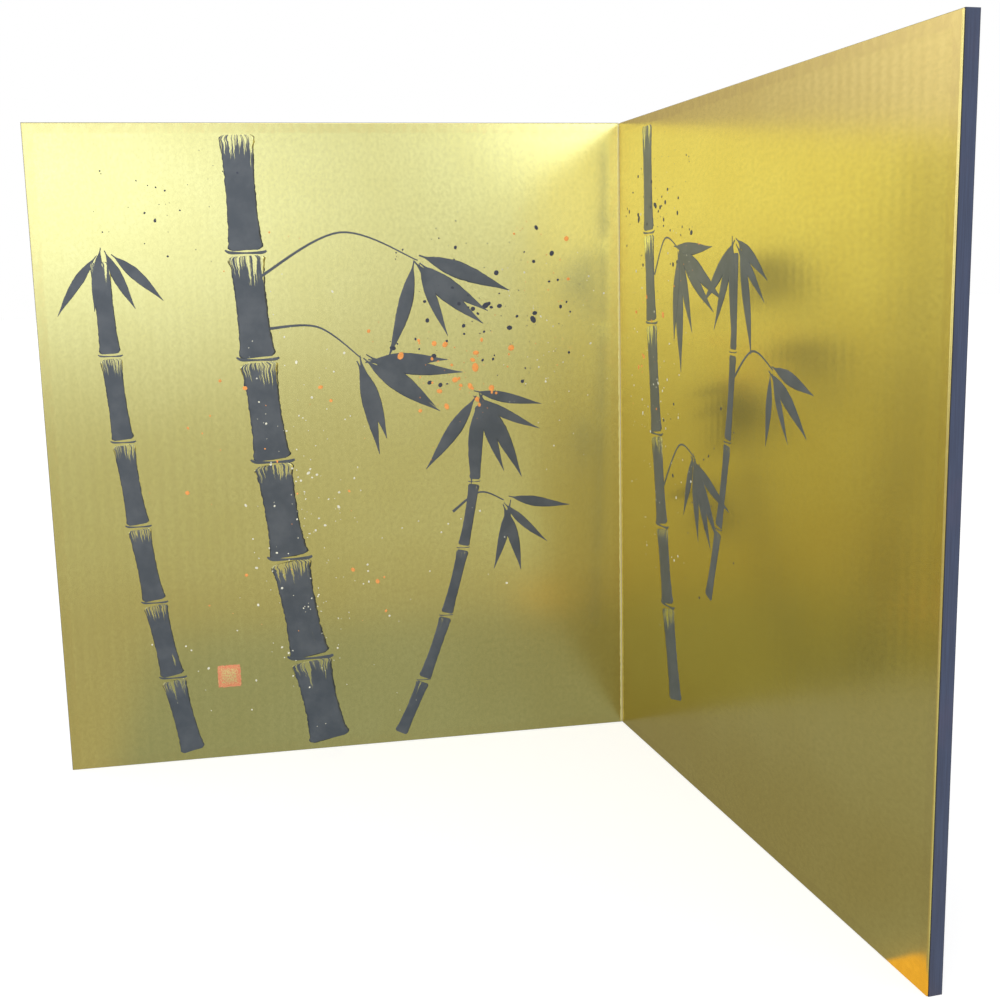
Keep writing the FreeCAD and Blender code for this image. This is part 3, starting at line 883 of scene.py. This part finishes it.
def makePainting():
    tree = brushTree()
    finish = inkFinish()
    for side in sides:
        chance = random.Random(21 + sides.index(side))
        curve = bpy.data.curves.new("strokes", "CURVE")
        curve.dimensions = "3D"
        for stalk in stalks[side]:
            stalkStrokes(curve, stalk, chance)
        for twig in twigs[side]:
            addStroke(curve, twig, leafLook["twigWidths"])
        for spray in sprays[side]:
            sprayStrokes(curve, spray, chance)
        strokes = placed("strokes", curve)
        runTree(strokes, tree, {**brushLook["sizes"], **brushLook["counts"], "Material": finish})
        painting = plainMesh(strokes, side + "_brush_painting", panelPlace[side])
        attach(painting, side + "_panel")


makePainting()
print("painting ready")

# Flecks flicked off the brush: centre (x, z) and reach on the panel, how many, largest size
fleckLook = {
    "margin": 0.010,
    "crowding": 0.8,
    "smallness": 3.0,
    "longest": (0.8, 1.5),
    "shade": 0.8,
    "roughness": 0.45,
    "cloud": (260.0, 3.0, 0.6),
    "depth": 0.00004,
    "sizes": {"Smallest": 0.0006, "Height": 0.00012, "Width": faceWidth, "Top": faceTop},
    "counts": {"Segments": 12, "Rings": 4},
}
fleckTones = {
    "orange": colour(0.98, 0.38, 0.09),
    "white": colour(0.84, 0.83, 0.68),
    "slate": colour(0.045, 0.052, 0.085),
}
flecks = {
    "left": {
        "orange": [(0.270, 0.610, 0.10, 0.08, 60, 0.0058), (0.120, 0.740, 0.10, 0.15, 26, 0.0046),
                   (0.530, 0.500, 0.24, 0.34, 40, 0.0048)],
        "white": [(0.520, 0.420, 0.10, 0.40, 150, 0.0022), (0.120, 0.640, 0.11, 0.20, 50, 0.0020),
                  (0.500, 0.250, 0.34, 0.22, 60, 0.0020)],
        "slate": [(0.230, 0.700, 0.17, 0.17, 110, 0.0044), (0.720, 0.880, 0.14, 0.10, 30, 0.0028)],
    },
    "right": {
        "orange": [(0.100, 0.650, 0.09, 0.13, 22, 0.0044), (0.260, 0.730, 0.10, 0.12, 12, 0.0044)],
        "white": [(0.170, 0.560, 0.14, 0.36, 110, 0.0024)],
        "slate": [(0.160, 0.850, 0.15, 0.12, 90, 0.0040), (0.330, 0.450, 0.17, 0.20, 46, 0.0034)],
    },
}


def fleckTree():
    look = fleckLook
    sizes = ["Centre across", "Centre up", "Reach across", "Reach up", "Largest", *look["sizes"]]
    tree, maker, entry = newTree("flecks", sizes, ["Count", "Seed", *look["counts"]])

    def chance(low, high, offset):
        seed = maker.math("ADD", entry["Seed"], float(offset))
        node = maker.add("FunctionNodeRandomValue", {"Seed": seed}, data_type="FLOAT")
        maker.feed(node.inputs[2], low)
        maker.feed(node.inputs[3], high)
        return node.outputs[1]

    turn = chance(0.0, 2 * math.pi, 1)
    away = maker.math("POWER", chance(0.0, 1.0, 2), look["crowding"])
    places = []
    for way, name, limit in (("COSINE", "across", "Width"), ("SINE", "up", "Top")):
        place = maker.math("MULTIPLY", away, maker.math(way, turn))
        place = maker.math("MULTIPLY_ADD", place, entry["Reach " + name], entry["Centre " + name])
        end = maker.math("SUBTRACT", entry[limit], look["margin"])
        places.append(maker.within(place, look["margin"], end))
    spots = {"Count": entry["Count"], "Position": maker.join(places[0], 0.0, places[1])}
    spots = maker.add("GeometryNodePoints", spots).outputs[0]
    size = maker.math("POWER", chance(0.0, 1.0, 3), look["smallness"])
    spread = maker.math("SUBTRACT", entry["Largest"], entry["Smallest"])
    size = maker.math("MULTIPLY_ADD", size, spread, entry["Smallest"])
    longer = maker.math("MULTIPLY", size, chance(*look["longest"], 4))
    scale = maker.join(size, entry["Height"], longer)
    ball = {"Segments": entry["Segments"], "Rings": entry["Rings"], "Radius": 1.0}
    drop = maker.add("GeometryNodeMeshUVSphere", ball).outputs[0]
    tilt = maker.join(0.0, chance(0.0, math.pi, 5), 0.0)
    drops = maker.add("GeometryNodeInstanceOnPoints", {"Points": spots, "Instance": drop, "Scale": scale,
                                                       "Rotation": tilt}).outputs[0]
    closeTree(maker, entry, drops)
    return tree


def fleckFinish(name, tone):
    look = fleckLook
    material, maker, shader = newMaterial("fleck_" + name)
    cloud = maker.noise(maker.objectPlace(), *look["cloud"])
    paint = maker.mix(maker.ramp(cloud, *firm), darker(tone, look["shade"]), tone)
    maker.feed(shader.inputs["Base Color"], paint)
    shader.inputs["Roughness"].default_value = look["roughness"]
    bumped(maker, shader, cloud, look["depth"])
    return material


def makeFlecks():
    look = fleckLook
    tree = fleckTree()
    for name, tone in fleckTones.items():
        finish = fleckFinish(name, tone)
        for side in sides:
            groups = []
            for index, (x, z, reachX, reachZ, count, largest) in enumerate(flecks[side][name]):
                holder = placed("flecks", bpy.data.meshes.new("flecks"))
                runTree(holder, tree, {
                    **look["sizes"], **look["counts"], "Count": count, "Seed": 10 * index + len(name),
                    "Centre across": x, "Centre up": z, "Reach across": reachX, "Reach up": reachZ,
                    "Largest": largest, "Material": finish,
                })
                groups.append(plainMesh(holder, "flecks", panelPlace[side]))
            group = joined(groups, f"{side}_{name}_flecks")
            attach(group, side + "_panel")


makeFlecks()
print("flecks ready")

# Plain square of worn red pigment low on the left panel
squareLook = {
    "at": (0.657, 0.136),
    "size": 0.037,
    "height": 0.00007,
    "sunk": -0.0001,
    "taper": 0.985,
    "ragged": (-0.0009, 0.00036),
    "rounding": 0.0012,
    "sharpness": 8,
    "steps": 26,
    "tone": colour(0.72, 0.125, 0.070),
    "roughness": 0.5,
    "worn": (520.0, 5.0, 0.75),
    "wornInside": (0.008, 0.016, 0.07, 0.0),
    "bareFade": (0.50, 0.62, 0.12, 1.0),
    "depth": 0.00004,
}


def squareOutline():
    # Slightly ragged sides, rounded at the corners
    look = squareLook
    chance = random.Random(8)
    half = look["size"] / 2
    outline = []
    for side in range(4):
        turn = Matrix.Rotation(side * math.pi / 2, 2)
        for step in range(look["steps"]):
            along = half * (2 * step / look["steps"] - 1)
            corner = look["rounding"] * (abs(along) / half) ** look["sharpness"]
            out = half - corner + chance.uniform(*look["ragged"])
            outline.append(turn @ Vector((out, along)))
    return outline


def makeSquare():
    look = squareLook
    middleX, middleZ = look["at"]
    material, maker, shader = newMaterial("red_pigment")
    worn = maker.noise(maker.objectPlace(), *look["worn"])
    x, _, z = maker.split(panelCoordinates(maker, "left"))
    fromMiddle = maker.math("MAXIMUM", maker.math("ABSOLUTE", maker.math("SUBTRACT", x, middleX)),
                            maker.math("ABSOLUTE", maker.math("SUBTRACT", z, middleZ)))
    worn = maker.math("ADD", worn, maker.ramp(fromMiddle, *look["wornInside"]))
    bare = maker.ramp(worn, *look["bareFade"])
    maker.feed(shader.inputs["Base Color"], maker.mix(bare, look["tone"], goldLook["tone"]["left"]))
    maker.feed(shader.inputs["Metallic"], bare)
    shader.inputs["Roughness"].default_value = look["roughness"]
    bumped(maker, shader, worn, look["depth"])
    outline = squareOutline()
    points = []
    for share, y in ((1.0, look["sunk"]), (1.0, 0.0), (look["taper"], look["height"])):
        points += [(middleX + spot.x * share, y, middleZ + spot.y * share) for spot in outline]
    mesh = newMesh("square", points, tubeFaces(len(outline), 3), material)
    square = plainMesh(placed("square", mesh), "red_square", panelPlace["left"])
    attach(square, "left_panel")


makeSquare()
print("red square ready")

# What the gold mirrors of the floor: a plane that only reflections see, with soft-edged patches
mirrored = {"reach": 7.5, "tone": colour(0.49, 0.455, 0.325)}
mirroredPatches = {
    "warm": {"low": (-2.5, -0.9), "high": (2.5, 0.9), "soft": 0.15, "tone": colour(0.43, 0.38, 0.255)},
    "side": {"low": (0.52, -1.6), "high": (2.2, -0.5), "soft": 0.03, "tone": colour(0.60, 0.62, 0.50)},
    "mat": {"low": (-0.43, -0.36), "high": (0.90, 0.9), "soft": 0.05, "tone": colour(0.32, 0.325, 0.265)},
    "inner": {"low": (0.22, -0.36), "high": (0.90, 0.9), "soft": 0.16, "tone": colour(0.285, 0.275, 0.20)},
    "glow": {"low": (0.426, -0.520), "high": (0.500, -0.385), "soft": 0.006, "tone": colour(0.95, 0.54, 0.1)},
}


def newGround(name, reach, finish):
    corners = [(-reach, -reach, 0), (reach, -reach, 0), (reach, reach, 0), (-reach, reach, 0)]
    return placed(name, newMesh(name, corners, [(0, 1, 2, 3)], finish))


def mirroredFloor():
    material, maker, shader = newMaterial("mirrored_floor", "ShaderNodeEmission")
    x, y, _ = maker.split(maker.objectPlace())
    tone = mirrored["tone"]
    for patch in mirroredPatches.values():
        edge = patch["soft"]
        share = 1.0
        for value, low, high in zip((x, y), patch["low"], patch["high"]):
            share = maker.product(share, maker.ramp(value, low - edge, low + edge),
                                  maker.ramp(value, high - edge, high + edge, 1.0, 0.0))
        tone = maker.mix(share, tone, patch["tone"])
    maker.feed(shader.inputs["Color"], tone)
    plane = newGround("mirrored_floor", mirrored["reach"], material)
    plane.visible_camera = False
    plane.visible_diffuse = False
    plane.visible_shadow = False


# The room's lamps as reflections see them: degrees from behind the camera towards +X and upwards, and how far
# each spreads both ways
room = [
    {"azimuth": -13, "height": 4, "wide": 10.5, "tall": 3.7, "tone": (1.0, 1.12, 1.30), "strength": 1.10},
    {"azimuth": 17, "height": 10, "wide": 3.6, "tall": 3.5, "tone": (1.0, 1.08, 1.12), "strength": 2.9},
    {"azimuth": -5, "height": 6.5, "wide": 4, "tall": 2.5, "tone": (1.0, 1.10, 1.30), "strength": 0.25},
    {"azimuth": 0, "height": 0, "wide": 5, "tall": 5.5, "tone": (1.0, 1.05, 1.20), "strength": 0.22},
    {"azimuth": 42, "height": 6, "wide": 13, "tall": 13, "tone": (1.0, 1.12, 1.30), "strength": 0.90},
    {"azimuth": -34, "height": 5, "wide": 11, "tall": 12, "tone": (1.0, 0.97, 0.90), "strength": 0.39},
    {"azimuth": -90, "height": 5, "wide": 22, "tall": 25, "tone": (1.0, 1.02, 0.95), "strength": 0.75},
    {"azimuth": -137, "height": 15, "wide": 6.5, "tall": 7, "tone": (1.0, 0.95, 1.10), "strength": 0.88},
    {"azimuth": -155, "height": 10, "wide": 14, "tall": 14, "tone": (1.0, 0.4, 0.2), "strength": 0.08},
    {"azimuth": 180, "height": 44, "wide": 16, "tall": 13, "tone": (1.0, 1.0, 0.9), "strength": 0.90},
    {"azimuth": 0, "height": 68, "wide": 22, "tall": 22, "tone": (1.0, 1.0, 1.0), "strength": 0.80},
    {"azimuth": 0, "height": 44, "wide": 45, "tall": 11, "tone": (1.0, 1.05, 1.10), "strength": 0.90},
]
wallTone = (0.40, 0.38, 0.29)


def makeRoom():
    world = bpy.data.worlds.new("room")
    world.use_nodes = True
    world.node_tree.nodes.clear()
    scene.world = world
    maker = treeMaker(world.node_tree)
    direction = maker.add("ShaderNodeTexCoord").outputs["Generated"]
    total = wallTone
    for lamp in room:
        azimuth, height = math.radians(lamp["azimuth"]), math.radians(lamp["height"])
        level = math.cos(height)
        aim = Vector((math.sin(azimuth) * level, -math.cos(azimuth) * level, math.sin(height)))
        aside = Vector((math.cos(azimuth), math.sin(azimuth), 0))
        away = 0.0
        for axis, spread in ((aside, lamp["wide"]), (aside.cross(aim), lamp["tall"])):
            part = maker.vector("DOT_PRODUCT", direction, tuple(axis), result="Value")
            part = maker.math("DIVIDE", part, math.radians(spread))
            away = maker.math("MULTIPLY_ADD", maker.math("MULTIPLY", part, part), -0.5, away)
        facing = maker.vector("DOT_PRODUCT", direction, tuple(aim), result="Value")
        ahead = maker.math("GREATER_THAN", facing, 0.0)
        share = maker.product(maker.math("EXPONENT", away), ahead, lamp["strength"])
        total = maker.vector("ADD", total, maker.scaled(lamp["tone"], share))
    paths = maker.add("ShaderNodeLightPath").outputs
    glossy = maker.add("ShaderNodeBackground", {"Color": total, "Strength": 1.0}).outputs[0]
    plain = maker.add("ShaderNodeBackground", {"Color": colour(1, 1, 1), "Strength": 1.0}).outputs[0]
    mixed = maker.add("ShaderNodeMixShader", {0: paths["Is Glossy Ray"], 1: plain, 2: glossy})
    maker.add("ShaderNodeOutputWorld", {"Surface": mixed.outputs[0]})


# Plain white floor
floorLook = {"reach": 30.0, "tone": colour(0.45, 0.45, 0.45), "roughness": 0.9, "glow": 0.66}


def makeFloor():
    look = floorLook
    material, maker, shader = newMaterial("studio_floor")
    shader.inputs["Base Color"].default_value = look["tone"]
    shader.inputs["Roughness"].default_value = look["roughness"]
    shader.inputs["Emission Color"].default_value = colour(1, 1, 1)
    shader.inputs["Emission Strength"].default_value = look["glow"]
    floor = newGround("studio_floor", look["reach"], material)
    floor.visible_glossy = False


# Where the photograph was taken from: place in metres, turns in degrees, lens and sensor in millimetres
eye = {"place": (-0.1932, -1.6217, 0.7622), "yaw": -10.935, "pitch": -9.766, "roll": 1.238, "lens": 46.74,
       "sensor": 36.0}


def makeCamera():
    data = bpy.data.cameras.new("camera")
    data.lens = eye["lens"]
    data.sensor_width = eye["sensor"]
    camera = placed("camera", data)
    turn = Matrix.Translation(eye["place"])
    for angle, axis in ((eye["yaw"], "Z"), (eye["pitch"], "X"), (eye["roll"], "Y"), (90, "X")):
        turn = turn @ Matrix.Rotation(math.radians(angle), 4, axis)
    camera.matrix_world = turn
    scene.camera = camera


# Broad soft lamp above and in front
lampLook = {"place": (-0.8, -2.0, 2.8), "towards": (0.1, 0.1, 0.6), "size": 2.4, "power": 22.0}


def makeLamp():
    data = bpy.data.lights.new("soft_lamp", "AREA")
    data.size = lampLook["size"]
    data.energy = lampLook["power"]
    lamp = placed("soft_lamp", data)
    place = Vector(lampLook["place"])
    aim = (Vector(lampLook["towards"]) - place).to_track_quat("-Z", "Y")
    lamp.matrix_world = Matrix.Translation(place) @ aim.to_matrix().to_4x4()
    lamp.visible_glossy = False


mirroredFloor()
makeRoom()
makeFloor()
makeLamp()
makeCamera()
print("stage ready")
